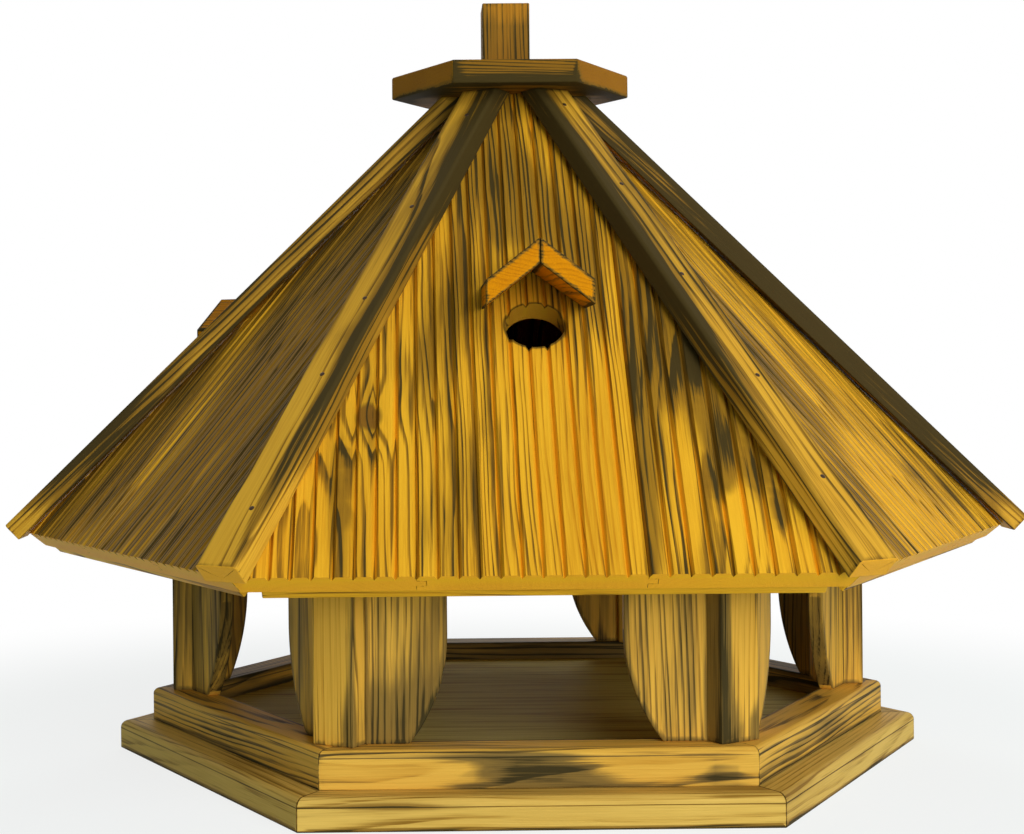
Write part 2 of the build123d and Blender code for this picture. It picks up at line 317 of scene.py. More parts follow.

# %% [markdown]
# A gas flame leaves soft-edged dark patches. Each mark below is an oval in the board's own bench frame:
# its middle, its half sizes, and how strongly the wood was burnt there. A mark below zero is a
# patch that the flame missed. Some marks are painted shade and darken the wood the same way: the brown film
# on the back rims and on the left and back posts and wings in the roof's shadow, part of the film on the
# front-left roof panel, the darkest part of the cap's underside, and part of the dark band on the left edge
# of the front right post.

# %% The flame marks and the painted shade
flame_and_shade_marks = {
    "roof_panel_front.left": [
        (-70, 150, 0, 6, 60, 9, 0.2), (-106, 82, 0, 3, 6, 9, 0.8), (-105, 60, 0, 3, 6, 9, 0.9),
        (-104, 40, 0, 3, 6, 9, 0.8), (-114, 62, 0, 4, 14, 9, 0.15), (-125, 70, 0, 10, 50, 9, -0.4),
        (-84, 45, 0, 13, 45, 9, -0.4), (-140, 15, 0, 18, 18, 9, -0.3), (-92, 108, 0, 2, 4, 9, 0.6),
    ],
    "roof_panel_front.middle": [
        (-5, 300, 0, 30, 40, 9, 0.5), (0, 255, 0, 24, 24, 9, 0.25), (-42, 205, 0, 13, 62, 9, 0.3),
        (-62, 150, 0, 6, 35, 9, 0.35), (-50, 100, 0, 12, 60, 9, 0.1), (-55, 30, 0, 14, 40, 9, 0.12),
        (-36, 70, 0, 10, 60, 9, 0.08), (22, 68, 0, 36, 90, 9, -0.75), (40, 195, 0, 10, 45, 9, 0.3),
        (28, 250, 0, 12, 30, 9, 0.2), (8, 148, 0, 16, 16, 9, -0.2), (0, 380, 0, 30, 40, 9, 0.25),
    ],
    "roof_panel_front.right": [
        (56, 110, 0, 5, 150, 9, 0.75), (70, 160, 0, 7, 45, 9, 0.85), (86, 145, 0, 5, 28, 9, 0.8),
        (100, 88, 0, 7, 36, 9, 0.95), (115, 68, 0, 5, 16, 9, 0.8), (126, 40, 0, 4, 14, 9, 0.7),
        (77, 70, 0, 6, 75, 9, -0.3), (100, 38, 0, 6, 11, 9, -0.9), (118, 12, 0, 16, 14, 9, -0.4),
        (140, 20, 0, 10, 20, 9, -0.25),
    ],
    # The broad film over the front-left panel's three boards is partly burn and partly painted shade of that
    # side.
    "roof_panel_front_left.left": [(-100, 120, 0, 90, 160, 9, 0.36), (-70, 50, 0, 9, 50, 9, 0.15)],
    "roof_panel_front_left.middle": [
        (0, 180, 0, 90, 200, 9, 0.34), (-50, 70, 0, 8, 80, 9, -0.3), (0, 300, 0, 40, 70, 9, 0.15),
    ],
    "roof_panel_front_left.right": [(100, 120, 0, 90, 160, 9, 0.34), (66, 120, 0, 9, 50, 9, 0.2)],
    "roof_panel_front_right.left": [(-75, 40, 0, 9, 40, 9, 0.4)],
    "roof_panel_front_right.middle": [
        (-34, 145, 0, 13, 60, 9, 0.7), (-55, 55, 0, 8, 40, 9, 0.5), (25, 200, 0, 40, 90, 9, 0.15),
        (0, 35, 0, 50, 48, 9, -0.35), (15, 300, 0, 10, 45, 9, 0.3),
    ],
    "roof_panel_front_right.right": [
        (110, 35, 0, 10, 28, 9, 0.6), (70, 50, 0, 9, 12, 9, 0.4), (75, 130, 0, 16, 50, 9, -0.1),
        (90, 8, 0, 30, 12, 9, -0.4), (140, 15, 0, 14, 20, 9, -0.3),
    ],
    "hip_batten_front_left": [
        (8, 320, 13, 6, 140, 8, 1.0), (13, 340, 6, 4, 110, 12, 0.9), (13, 130, 6, 3, 100, 4, 0.5),
        (13, 10, 6, 4, 40, 12, -0.5), (10, 90, 13, 2.4, 110, 4, 1.0), (-4, 70, 13, 7, 70, 6, -0.35),
        (-5, 300, 13, 6, 90, 5, 0.08), (0, 165, 13, 9, 18, 6, 0.3), (-13, 200, 6, 3, 220, 12, 0.3),
    ],
    "hip_batten_front_right": [
        (-13, 300, 6, 4, 160, 14, 1.2), (-9, 310, 13, 5, 160, 6, 0.9), (-13, 50, 6, 3, 50, 10, -0.2),
        (5, 260, 13, 8, 140, 6, -0.1), (0, 90, 13, 14, 70, 6, -0.15), (-5, 60, 13, 3, 24, 5, 0.7),
        (13, 320, 13, 4, 60, 6, 0.6), (13, 190, 13, 4, 50, 6, 0.6), (13, 55, 13, 4, 25, 6, 0.5),
    ],
    "hip_batten_right": [
        (-13, 220, 6, 6, 230, 30, 0.9), (0, 220, 13, 16, 230, 10, 0.6), (0, 0, 8, 30, 18, 30, -0.7),
    ],
    "hip_batten_left": [
        (13, 280, 6, 9, 180, 30, 0.3), (13, 80, 6, 6, 60, 20, 0.6), (0, 0, 8, 30, 16, 30, -0.4),
    ],
    # The marks at a height of 428 mm, round the underside of the cap, are burn darkened further as painted
    # shade under its overhang.
    "roof_cap": [
        (67, 0, 428, 14, 90, 10, 1.1), (34, 59, 428, 24, 24, 5, 1.6), (34, -59, 428, 24, 24, 5, 1.6),
        (0, 75, 428, 30, 12, 5, 1.3), (0, -75, 428, 30, 12, 5, 1.3), (68, 39, 436, 4, 3, 12, 0.5),
        (68, -39, 436, 4, 3, 12, 0.5),
    ],
    "cap_peg": [(4, 465, 0, 4, 25, 30, 0.35), (-18, 465, 0, 3, 40, 30, 0.4), (0, 490, 0, 30, 7, 30, -0.7)],
    "rim_board_front": [
        (-28, -82, 210, 7, 44, 12, -0.6), (-29, -12, 210, 9, 28, 10, 0.68), (-25, 22, 210, 6, 30, 10, 0.7),
        (-24, -48, 210, 3, 20, 10, 0.55), (-31, 45, 210, 4, 30, 10, -0.6), (-28, 76, 210, 8, 14, 10, -0.5),
        (-26, 98, 210, 5, 16, 10, 0.7), (-28, 118, 210, 10, 6, 10, -0.5), (-36, -30, 210, 2, 90, 10, 0.35),
        (-19, 0, 210, 2, 140, 10, -0.5),
    ],
    "rim_board_front_right": [(-28, 0, 210, 8, 150, 10, 0.12), (-40, 0, 205, 3, 150, 10, -0.3)],
    # The marks from here to the wings of the right post are painted shade: a brown film on the back rims and
    # on the left and back posts and wings, which lie in the roof's shadow.
    "rim_board_back": [(-28, 0, 190, 30, 400, 30, 0.35)],
    "rim_board_back_left": [(-28, 0, 190, 30, 400, 30, 0.2)],
    "rim_board_back_right": [(-28, 0, 190, 30, 400, 30, 0.2)],
    "corner_post_left": [(0, 90, 228, 40, 90, 40, 0.22)],
    "post_wings_left.left": [(0, 80, 200, 400, 90, 99, 0.25)],
    "post_wings_left.right": [(0, 80, 200, 400, 90, 99, 0.25)],
    "post_wings_back_right.left": [(0, 80, 200, 400, 90, 99, 0.3)],
    "post_wings_right.right": [(0, 80, 200, 400, 90, 99, 0.3)],
    "rim_board_front_left": [(-30, 0, 210, 12, 120, 10, -0.1)],
    "base_board_front": [(-14, -85, 229, 2, 28, 10, 0.6), (-9, 40, 229, 6, 70, 10, -0.1)],
    "post_wings_front_left.right": [
        (-74, 54, 200, 26, 24, 99, 0.55), (-60, 105, 200, 6, 30, 99, 0.3), (-88, 110, 200, 12, 30, 99, 0.1),
    ],
    "corner_post_front_left": [
        (10, 90, 228, 2, 45, 30, 0.35), (9, 50, 228, 5, 18, 30, 0.35), (-7, 70, 228, 2, 3, 9, 0.5),
        (-4, 90, 228, 9, 60, 30, -0.5),
    ],
    # Along the left edge of this post, the first mark is partly burn and partly painted shade of the post's
    # side face and of the groove to its wing.
    "corner_post_front_right": [
        (-10, 85, 228, 4, 60, 30, 0.8), (-6, 45, 228, 6, 8, 30, 0.5), (10, 48, 228, 4, 10, 30, 0.5),
        (2, 62, 228, 2, 3, 9, 0.5), (5, 95, 228, 8, 40, 30, -0.5),
    ],
}
print("hand-set flame marks:", sum(len(marks) for marks in flame_and_shade_marks.values()))

# %% [markdown]
# The marks, the trunk place and the knot are written onto the corners of the mesh as attributes. Painting
# a texture would do the same, but an attribute needs no picture and follows the board wherever it goes.

# %% Read a mesh and write attributes on it
def loose_boards(mesh):
    """The corners of each separate board in a mesh, one array of numbers a board."""
    parent = list(range(len(mesh.vertices)))

    def root(i):
        while parent[i] != i:
            parent[i] = parent[parent[i]]
            i = parent[i]
        return i

    for edge in mesh.edges:
        a, b = root(edge.vertices[0]), root(edge.vertices[1])
        parent[max(a, b)] = min(a, b)
    groups = {}
    for i in range(len(parent)):
        groups.setdefault(root(i), []).append(i)
    return [np.array(group) for group in groups.values()]


def store(mesh, name, values, domain="POINT"):
    """A number or a vector for every corner, or for every face, of the mesh."""
    kind = "FLOAT" if values.ndim == 1 else "FLOAT_VECTOR"
    attribute = mesh.attributes.new(name, kind, domain)
    field = "value" if values.ndim == 1 else "vector"
    attribute.data.foreach_set(field, values.astype(np.float32).ravel())


def corners(mesh):
    """The places of a mesh's corners as rows of an array."""
    places = np.zeros(len(mesh.vertices) * 3, np.float32)
    mesh.vertices.foreach_get("co", places)
    return places.reshape(-1, 3).astype(float)


def in_frame(places, matrix):
    """Places in a bench frame, in millimetres."""
    inverse = np.array(matrix.inverted())
    return (places @ inverse[:3, :3].T + inverse[:3, 3]) / MM


print("helpers for corners, boards and attributes are ready")

# %% [markdown]
# Each board of a piece looks up its bench frame first. Then its corners are moved into the trunk, its knot is
# measured, and every flame mark and every mark of painted shade adds its heat to the corners near it.

# %% Write the wood's attributes onto a mesh
KNOT_LENGTH = 1.3
END_GRAIN = 0.6


def frame_of(board, places, frames):
    """Picks the bench frame of a board: the one in which it sits best."""
    if len(frames) == 1:
        return frames[0]
    middle = places[board].mean(0)
    if frames[0][0].startswith("eave_cleats"):
        return max(frames, key=lambda f: f[1].to_3x3().col[2].dot(Vector(middle)))
    if frames[0][0].startswith("roof_panel"):
        across = in_frame(middle[None], frames[0][1])[0][0]
        return frames[int(across > seam_left) + int(across > seam_right)]
    corner = Vector((0, 0, 1)).cross(frames[0][1].to_3x3().col[2] + frames[1][1].to_3x3().col[2])
    return frames[int(corner.dot(Vector(middle)) > 0)]


def write_wood(mesh, node, edge):
    """Gives a mesh its grain, knot, tone, scorch, edge and end attributes."""
    places = corners(mesh)
    frames = board_frames(node)
    count = len(places)
    grain, knot, fibres = np.zeros((count, 3)), np.zeros((count, 3)), np.zeros((count, 3))
    tone, scorch_and_shade = np.zeros(count), np.zeros(count)
    boards = {}
    for board in loose_boards(mesh):
        boards.setdefault(frame_of(board, places, frames)[0], []).append(board)
    for name, matrix in frames:
        spread, below, shift = draw.uniform(-40, 40), draw.uniform(-75, -28), draw.uniform(0, 2000)
        shade = draw.uniform(-1, 1)
        for board in boards.get(name, []):
            local = in_frame(places[board], matrix)
            x, y, z = local.T
            heart = trunk_place.get(name, ((x.min() + x.max()) / 2 + spread, below, shift))
            grain[board] = np.stack([x - heart[0], z - z.max() - heart[1], y + heart[2]], 1)
            knot_x, knot_y, size = knots.get(name, (FAR_AWAY, FAR_AWAY, 1))
            knot[board] = np.stack([x - knot_x, (y - knot_y) / KNOT_LENGTH, 0 * z], 1) / size
            fibres[board] = matrix.to_3x3().col[1]
            tone[board] = shade
            # Every mark adds heat alike, whether it is a flame mark or painted shade.
            for *middle, rx, ry, rz, strength in flame_and_shade_marks.get(name, []):
                reach = ((local - middle) / (rx, ry, rz)) ** 2
                scorch_and_shade[board] += strength * np.exp(-reach.sum(1))
    store(mesh, "grain", grain)
    store(mesh, "knot", knot)
    store(mesh, "tone", tone)
    store(mesh, "scorch_and_shade", scorch_and_shade)
    store(mesh, "edge", edge)
    first_corner = [polygon.vertices[0] for polygon in mesh.polygons]
    normals = np.array([polygon.normal for polygon in mesh.polygons])
    across_fibres = np.abs((normals * fibres[first_corner]).sum(1))
    store(mesh, "end", (across_fibres > END_GRAIN).astype(float), "FACE")


print("attributes: grain, knot, tone, scorch, edge, end")

# %% [markdown]
# ## Boards with worn edges
# A sawn and brushed board has no sharp edge. The CAD mesh is merged into clean faces and its edges are
# bevelled by about a millimetre; a bevel modifier would do, but here the script also has to know which faces
# are edges, because the flame burns them first. The mitres of base and rim stay sharp, so that the joints
# close. Cuts across and along the board carry the flame marks and the painted shade.

# %% Merge and cut a mesh
WELD, CUT_SLACK = 0.005 * MM, 0.01 * MM


def merge_flat(bm, degrees):
    """Welds the corners of a CAD mesh and joins its triangles into flat faces."""
    bmesh.ops.remove_doubles(bm, verts=bm.verts, dist=WELD)
    bmesh.ops.dissolve_limit(bm, angle_limit=math.radians(degrees), verts=bm.verts, edges=bm.edges)


def cut_through(bm, place, normal):
    """Cuts the faces of a mesh along a plane and keeps both halves."""
    bmesh.ops.bisect_plane(
        bm, geom=bm.verts[:] + bm.edges[:] + bm.faces[:], dist=CUT_SLACK, plane_co=place, plane_no=normal,
    )


print("corners closer than", WELD / MM, "mm are welded")

# %% Bevel, inset and cut a board, in millimetres
SHARP_EDGE = math.radians(28)
BAND_WIDTH, LEAST_WIDTH = 2.4, 3.84
CELL_ACROSS, CELL_ALONG = 9.0, 12.0
QUIRK_WIDTH, QUIRK_SLACK, JOINT_WIDTH = 1.3, 0.1, 0.6


def dressed_board(node, worn, quirk):
    """A copy of a node's mesh with worn edges, a band along them, and cells for the flame marks and painted
    shade.
    The quirk is the height of the thin burnt line that a moulding cutter leaves under a rounded edge."""
    bm = bmesh.new()
    bm.from_mesh(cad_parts[node].data)
    merge_flat(bm, 1)
    worn_layer = bm.faces.layers.int.new("worn")
    matrix = board_frames(node)[0][1]
    across, along, out = matrix.to_3x3().col

    # Mitres stay sharp, and all other sharp edges are worn.
    mitres = [f for f in bm.faces if quirk and abs(f.normal.dot(along)) > END_GRAIN]
    planes = [(f.calc_center_median() - f.normal * JOINT_WIDTH * MM, f.normal.copy()) for f in mitres]
    sharp = [
        e for e in bm.edges if len(e.link_faces) == 2 and e.calc_face_angle() > SHARP_EDGE
        and not any(f in mitres for f in e.link_faces)
    ]
    for face in mitres:
        face[worn_layer] = 1
    made = bmesh.ops.bevel(
        bm, geom=sharp, offset=worn * MM, offset_type="OFFSET", segments=2, profile=0.5,
        affect="EDGES", clamp_overlap=True,
    )
    for face in made["faces"]:
        face[worn_layer] = 1
    wide = [
        f for f in bm.faces if not f[worn_layer] and 2 * f.calc_area() / f.calc_perimeter() > LEAST_WIDTH * MM
    ]
    bmesh.ops.inset_individual(bm, faces=wide, thickness=BAND_WIDTH * MM, use_even_offset=True)

    # Cells first, then the thin lines along joints and quirk.
    local = in_frame(np.array([v.co for v in bm.verts]), matrix)
    low, length = local.min(0), np.ptp(local, 0)
    for axis, (normal, cell) in enumerate(((across, CELL_ACROSS), (along, CELL_ALONG), (out, CELL_ACROSS))):
        cells = int(length[axis] / cell)
        for i in range(1, cells):
            point = Vector((0, 0, 0))
            point[axis] = (low[axis] + i * length[axis] / cells) * MM
            cut_through(bm, matrix @ point, normal)
    if quirk:
        heights = (quirk - QUIRK_WIDTH / 2, quirk, quirk + QUIRK_WIDTH / 2)
        planes += [(Vector((0, 0, height * MM)), Vector((0, 0, 1))) for height in heights]
    for place, normal in planes:
        cut_through(bm, place, normal)
    edge = np.array([
        any(f[worn_layer] for f in v.link_faces) or bool(quirk) and abs(v.co.z / MM - quirk) < QUIRK_SLACK
        for v in bm.verts
    ], float)
    mesh = bpy.data.meshes.new(node + "_wood")
    bm.faces.layers.int.remove(worn_layer)
    bm.to_mesh(mesh)
    bm.free()
    write_wood(mesh, node, edge)
    return mesh


print("cells for the flame marks:", CELL_ACROSS, "by", CELL_ALONG, "mm")


# %% Put a finished mesh on show
def finished(name, mesh, material, slot, *nodes, rounded=True):
    """Puts a mesh on show as a piece that stands for its CAD nodes."""
    mesh.materials.clear()
    mesh.materials.append(material)
    piece = bpy.data.objects.new(name, mesh)
    scene.collection.objects.link(piece)
    if rounded:
        mesh.shade_smooth()
        mesh.set_sharp_from_angle(angle=math.radians(50))
        piece.modifiers.new("even shading", "WEIGHTED_NORMAL").keep_sharp = True
    else:
        mesh.shade_flat()
    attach(piece, "root")
    if nodes:
        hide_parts(*nodes)


print("every piece rides on the one body, root")

# %% [markdown]
# ## Flamed pine
# Pine is pale with a dark band of late wood in every year ring. The flame bites the late wood and the edges
# first, then spreads to smoky brown and near black, and the yellow stain over it turns the black to olive.
# Image textures would fix the pattern to one face; a solid recipe in trunk coordinates runs through the
# board. All sizes below are in millimetres, because the grain attribute is.
#
# The first part of the recipe is chance: clouds of noise that are drawn out along the fibres.

# %% Chance in the wood
# Size across the fibres, size along them, and detail.
CLOUDS = {
    "slow bend": (60, 240, 1.5), "quick bend": (12, 100, 2.0), "fibre": (0.8, 38, 2.0),
    "patch": (24, 130, 3.0), "drift": (45, 160, 2.0), "force": (7, 120, 3.0),
}


def wood_chance(put, grain):
    """The clouds of a piece of wood by name, each with a number and a colour."""
    chance = {}
    for key, (across, along, detail) in CLOUDS.items():
        size = (across, across, along)
        at = put("ShaderNodeVectorMath", [grain, [1 / s for s in size]], operation="MULTIPLY")[0]
        chance[key] = put("ShaderNodeTexNoise", {
            "Vector": at, "Scale": 1.0, "Detail": detail, "Roughness": 0.5,
        })
    return chance


print("clouds of chance:", ", ".join(CLOUDS))

# %% [markdown]
# ### Year rings
# The trunk grows crooked and tapers, so its rings are bent before their radius is taken. A knot pushes them
# aside. Good and bad years make wide and narrow rings, and in each ring the colour climbs to the late wood
# and drops at once.

# %% The late wood of the year rings
BENDS = {"slow bend": 16, "quick bend": 3}
TAPER = 0.018
KNOT_PUSH = {"From Max": 4.0, "To Min": 4.0, "To Max": 0.0}
GOOD_YEARS, YEARS_SPREAD = 8, 5.0
CLIMB = {"From Min": 0.38, "From Max": 0.88}
DROP = {"From Min": 1.0, "From Max": 0.92}


def year_rings(put, grain, chance, knot_far, ring):
    """How far a spot lies in the late wood of its ring, from nought to one."""
    bent = grain
    for key, reach in BENDS.items():
        bent = put("ShaderNodeVectorMath", [chance[key]["Color"], (reach, reach, 0), bent],
                   operation="MULTIPLY_ADD")[0]
    height = put("ShaderNodeSeparateXYZ", [bent])["Z"]
    taper = put("ShaderNodeMath", [height, TAPER], operation="MULTIPLY")[0]
    push = put("ShaderNodeMapRange", {"Value": knot_far, **KNOT_PUSH}, interpolation_type="SMOOTHSTEP")[0]
    flat = put("ShaderNodeVectorMath", [bent, (1, 1, 0)], operation="MULTIPLY")[0]
    radius = put("ShaderNodeVectorMath", [flat], operation="LENGTH")["Value"]
    for shift in (taper, push):
        radius = put("ShaderNodeMath", [radius, shift], operation="ADD")[0]

    years = put("ShaderNodeMath", [radius, 1 / GOOD_YEARS], operation="MULTIPLY")[0]
    years = put("ShaderNodeTexNoise", {"W": years, "Scale": 1.0, "Detail": 1.0}, noise_dimensions="1D")["Fac"]
    radius = put("ShaderNodeMath", [years, YEARS_SPREAD, radius], operation="MULTIPLY_ADD")[0]
    share = put("ShaderNodeMath", [radius, ring], operation="DIVIDE")[0]
    share = put("ShaderNodeMath", [share], operation="FRACT")[0]
    climb = put("ShaderNodeMapRange", {"Value": share, **CLIMB}, interpolation_type="SMOOTHSTEP")[0]
    drop = put("ShaderNodeMapRange", {"Value": share, **DROP})[0]
    return put("ShaderNodeMath", [climb, drop], operation="MULTIPLY")[0]


print("rings bend by up to", sum(BENDS.values()), "mm")

# %% [markdown]
# ### The flame
# Marks, patches and edges are broad heat, which lays a brown film over the wood; the marks of painted shade
# lay the same film. Late wood and single fibres take more heat than the rest, so they turn smoky and then
# black in thin lines.

# %% How far the flame went
# The heat at which a layer begins, the heat at which it is full, and the share of it that shows then.
FILM = {"From Min": -0.22, "From Max": 0.18, "To Max": 0.8}
SMOKY = {"From Min": 0.28, "From Max": 0.8, "To Max": 0.85}
CHARRED = {"From Min": 0.78, "From Max": 1.12, "To Max": 0.92}


def flame(put, heat, broad, fine):
    """The shares of smoke and of char, from a first heat and the broad and fine causes with their weights."""
    for cause, weight in broad:
        heat = put("ShaderNodeMath", [cause, weight, heat], operation="MULTIPLY_ADD")[0]
    film = put("ShaderNodeMapRange", {"Value": heat, **FILM}, interpolation_type="SMOOTHSTEP")[0]
    for cause, weight in fine:
        heat = put("ShaderNodeMath", [cause, weight, heat], operation="MULTIPLY_ADD")[0]
    smoky = put("ShaderNodeMapRange", {"Value": heat, **SMOKY}, interpolation_type="SMOOTHSTEP")[0]
    charred = put("ShaderNodeMapRange", {"Value": heat, **CHARRED}, interpolation_type="SMOOTHSTEP")[0]
    return put("ShaderNodeMath", [smoky, film], operation="MAXIMUM")[0], charred


print("wood is black from a heat of", CHARRED["From Max"])

# %% [markdown]
# ### Grooves and holes
# The cutter laid bare fresh wood in the grooves of the roof boards, where the stain is strongest. The bore of
# an entrance hole is smoky, and its rim is singed.

# %% Fresh wood in the grooves, a singed rim round the hole
FRESH_SHARE, CHAR_LOST, BORE_SMOKE = 0.75, -0.6, 0.5
SINGED_RIM = {"From Min": hole_radius + 0.75, "From Max": hole_radius + 1.75, "To Min": 0.8, "To Max": 0.0}


def fresh_cuts(put, smoky, charred):
    """The share of fresh wood in the grooves, then smoke and char as cutter and drill leave them."""
    cut, bore = (put("ShaderNodeAttribute", attribute_name=key)["Fac"] for key in ("groove", "bore"))
    fresh = put("ShaderNodeMath", [cut, FRESH_SHARE], operation="MULTIPLY")[0]
    lost = put("ShaderNodeMath", [charred, CHAR_LOST], operation="MULTIPLY")[0]
    charred = put("ShaderNodeMath", [cut, lost, charred], operation="MULTIPLY_ADD")[0]
    smoky = put("ShaderNodeMath", [bore, BORE_SMOKE, smoky], operation="MULTIPLY_ADD", use_clamp=True)[0]
    hole = put("ShaderNodeAttribute", attribute_name="hole")["Vector"]
    rim = put("ShaderNodeVectorMath", [hole], operation="LENGTH")["Value"]
    rim = put("ShaderNodeMapRange", {"Value": rim, **SINGED_RIM})[0]
    rim = put("ShaderNodeMath", [rim, bore], operation="SUBTRACT", use_clamp=True)[0]
    return fresh, smoky, put("ShaderNodeMath", [charred, rim], operation="MAXIMUM")[0]


print("singed rim to", SINGED_RIM["From Max"], "mm from the middle of a hole")

# %% [markdown]
# ### The whole recipe
# Colours lie on one another as on the real wood: the pale early wood, the deeper stain, smoke, the eye of a
# knot, char, and the black bark round the knot. The brush raised the fibres a little, which a bump shows.

# %% The wood recipe
SMOKE, GREY_SMOKE, CHAR, KNOT = "#7E5A1A", "#54472A", "#362F18", "#94601E"
COLD, LINE_SHARE = -0.8, 0.35
LATE_FORCE = {"From Min": 0.3, "From Max": 0.65, "To Min": 0.25}
KNOT_BARK = {"From Min": 1.2, "From Max": 1.0, "To Max": 0.4}
KNOT_EYE = {"From Min": 1.0, "From Max": 0.85, "To Max": 0.75}
STAIN_START, SAWN_SHARE = -0.78, 0.55


def flamed_pine(name, pale, deep, ring=2.6, burn=0.4, edge_burn=0.3, patchy=0.45, lines=0.8, end_lines=0.3,
                shine=0.07, smoke=SMOKE, sawn=None, groove=None):
    """Pine stained yellow after burning: matt, with light early wood, dark late wood and soft scorch."""
    material, put = new_material(name)
    grain, knot = (put("ShaderNodeAttribute", attribute_name=key)["Vector"] for key in ("grain", "knot"))
    tone, scorch_and_shade, edge, end = (
        put("ShaderNodeAttribute", attribute_name=key)["Fac"] for key in ("tone", "scorch_and_shade", "edge", "end")
    )
    chance = wood_chance(put, grain)
    fibre, patch, drift, force = (chance[key]["Fac"] for key in ("fibre", "patch", "drift", "force"))

    # Late wood comes out strong in some places and weak in others, and weak on sawn ends.
    knot_far = put("ShaderNodeVectorMath", [knot], operation="LENGTH")["Value"]
    late = year_rings(put, grain, chance, knot_far, ring)
    strong = put("ShaderNodeMapRange", {"Value": force, **LATE_FORCE})[0]
    plain = put("ShaderNodeMath", [end, end_lines - 1, 1.0], operation="MULTIPLY_ADD")[0]
    for weight in (strong, plain):
        late = put("ShaderNodeMath", [late, weight], operation="MULTIPLY")[0]

    # The first heat makes up for what patches and lines add on average.
    # The marks' attribute carries the flame marks and also the painted shade of pieces in the roof's shadow.
    smoky, charred = flame(
        put, burn - patchy - LINE_SHARE * lines + COLD,
        [(patch, 2 * patchy), (scorch_and_shade, 1.0), (edge, edge_burn), (end, -0.6), (force, 0.7), (tone, 0.05)],
        [(late, lines), (fibre, 0.9)],
    )

    # Stain: pale in the early wood, deeper in the late wood, in single fibres and in broad drifts.
    depth = STAIN_START
    for cause, weight in ((drift, 1.0), (late, 0.6), (fibre, 0.9)):
        depth = put("ShaderNodeMath", [cause, weight, depth], operation="MULTIPLY_ADD")[0]
    layers = [(depth, deep)]
    if sawn:
        layers.append((put("ShaderNodeMath", [end, SAWN_SHARE], operation="MULTIPLY")[0], sawn))
    if groove:
        fresh, smoky, charred = fresh_cuts(put, smoky, charred)
        layers.append((fresh, groove))
    bark = put("ShaderNodeMapRange", {"Value": knot_far, **KNOT_BARK})[0]
    eye = put("ShaderNodeMapRange", {"Value": knot_far, **KNOT_EYE})[0]
    layers += [(smoky, smoke), (eye, KNOT), (charred, CHAR), (bark, CHAR)]
    colour = linear(pale)
    for share, tint in layers:
        colour = put("ShaderNodeMix", {0: share, 6: colour, 7: linear(tint)}, data_type="RGBA")[2]

    relief = put("ShaderNodeBump", {"Height": fibre, "Strength": 0.5, "Distance": 0.4 * MM})[0]
    rough = put("ShaderNodeMapRange", {"Value": charred, "To Min": 0.52, "To Max": 0.66})[0]
    surface = put("ShaderNodeBsdfPrincipled", {
        "Base Color": colour, "Roughness": rough, "Normal": relief, "IOR": 1.48, "Specular IOR Level": shine,
    })[0]
    put("ShaderNodeOutputMaterial", [surface])
    return material


print("smoke, char and knot in hex:", SMOKE, CHAR, KNOT)

# %% [markdown]
# The boards differ in their stain, in the width of their rings and in how hard they were burnt.

# %% The woods of the feeder
PALE, DEEP, SAWN = "#EFB32A", "#BE7A12", "#F2A428"
woods = {
    "base_boards": flamed_pine(
        "flamed pine of the base", "#DEB85C", "#B68C36", ring=3.8, burn=0.4, edge_burn=0.9, patchy=0.4,
        lines=0.4,
    ),
    "rim_boards": flamed_pine(
        "flamed pine of the rim", "#E2B24A", "#BA8426", ring=3.4, burn=0.5, edge_burn=0.5, lines=0.7,
        smoke=GREY_SMOKE,
    ),
    # The tray floor's olive, duller colours are partly its own burn and partly painted shade: the greenish
    # shade under the roof.
    "floor_board": flamed_pine(
        "olive pine of the tray floor with painted shade", "#CABA6A", "#AC9C50", ring=5.0, burn=0.35, patchy=0.25, lines=0.15,
        shine=0.02,
    ),
    "ceiling_board": flamed_pine("plain pine of the ceiling", PALE, DEEP, ring=5.0, burn=0.1, lines=0.3),
    "posts_and_wings": flamed_pine(
        "flamed pine of posts and wings", "#E8B446", "#BE8424", ring=3.6, burn=0.46, lines=0.5,
        smoke="#62502A",
    ),
    "roof_boards": flamed_pine(
        "flamed pine of the roof boards", PALE, DEEP, ring=3.3, burn=0.62, sawn=SAWN, groove="#EAAE20",
    ),
    "cleats": flamed_pine("pine of the eave cleats", PALE, DEEP, burn=0.3),
    "hip_battens": flamed_pine(
        "flamed pine of the hip battens", "#DFAA36", "#B47A1A", ring=4.0, burn=0.5, sawn=SAWN,
    ),
    "canopy_boards": flamed_pine(
        "flamed pine of the canopies", "#D28600", "#AE6400", ring=2.4, burn=0.4, edge_burn=1.3, lines=0.6,
        end_lines=0.9, shine=0.04,
    ),
    "cap_and_peg": flamed_pine(
        "flamed pine of cap and peg", "#9E6816", "#784A08", ring=1.9, burn=0.6, shine=0.03,
    ),
}
peg_wood = flamed_pine("flamed pine of the peg", "#B47A20", "#88560C", ring=3.1, burn=0.66, shine=0.05)
print("woods:", len(woods) + 1)

# %% [markdown]
# ## Dress the plain boards
# Base, rim, posts, wings, battens, cap, peg, canopies, floor, ceiling and cleats keep the shape of the CAD
# model. Only their edges are worn and their wood is written on.

# %% Make the plain boards
# Slot, how far the edges are worn and the height of the quirk, both in millimetres.
kinds = {
    "base_board": ("base_boards", 0.7, 13.5), "rim_board": ("rim_boards", 0.7, 36.0),
    "corner_post": ("posts_and_wings", 1.0, None), "post_wings": ("posts_and_wings", 0.9, None),
    "hip_batten": ("hip_battens", 0.7, None), "canopy": ("canopy_boards", 0.7, None),
    "roof_cap": ("cap_and_peg", 1.0, None), "cap_peg": ("cap_and_peg", 0.8, None),
    "tray_floor": ("floor_board", 0.8, None), "ceiling_board": ("ceiling_board", 0.8, None),
    "eave_cleats": ("cleats", 0.7, None),
}
for node in sorted(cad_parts):
    kind = next((k for k in kinds if node.startswith(k)), None)
    if kind:
        slot, worn, quirk = kinds[kind]
        wood = peg_wood if kind == "cap_peg" else woods[slot]
        finished(node + "_board", dressed_board(node, worn, quirk), wood, slot, node)
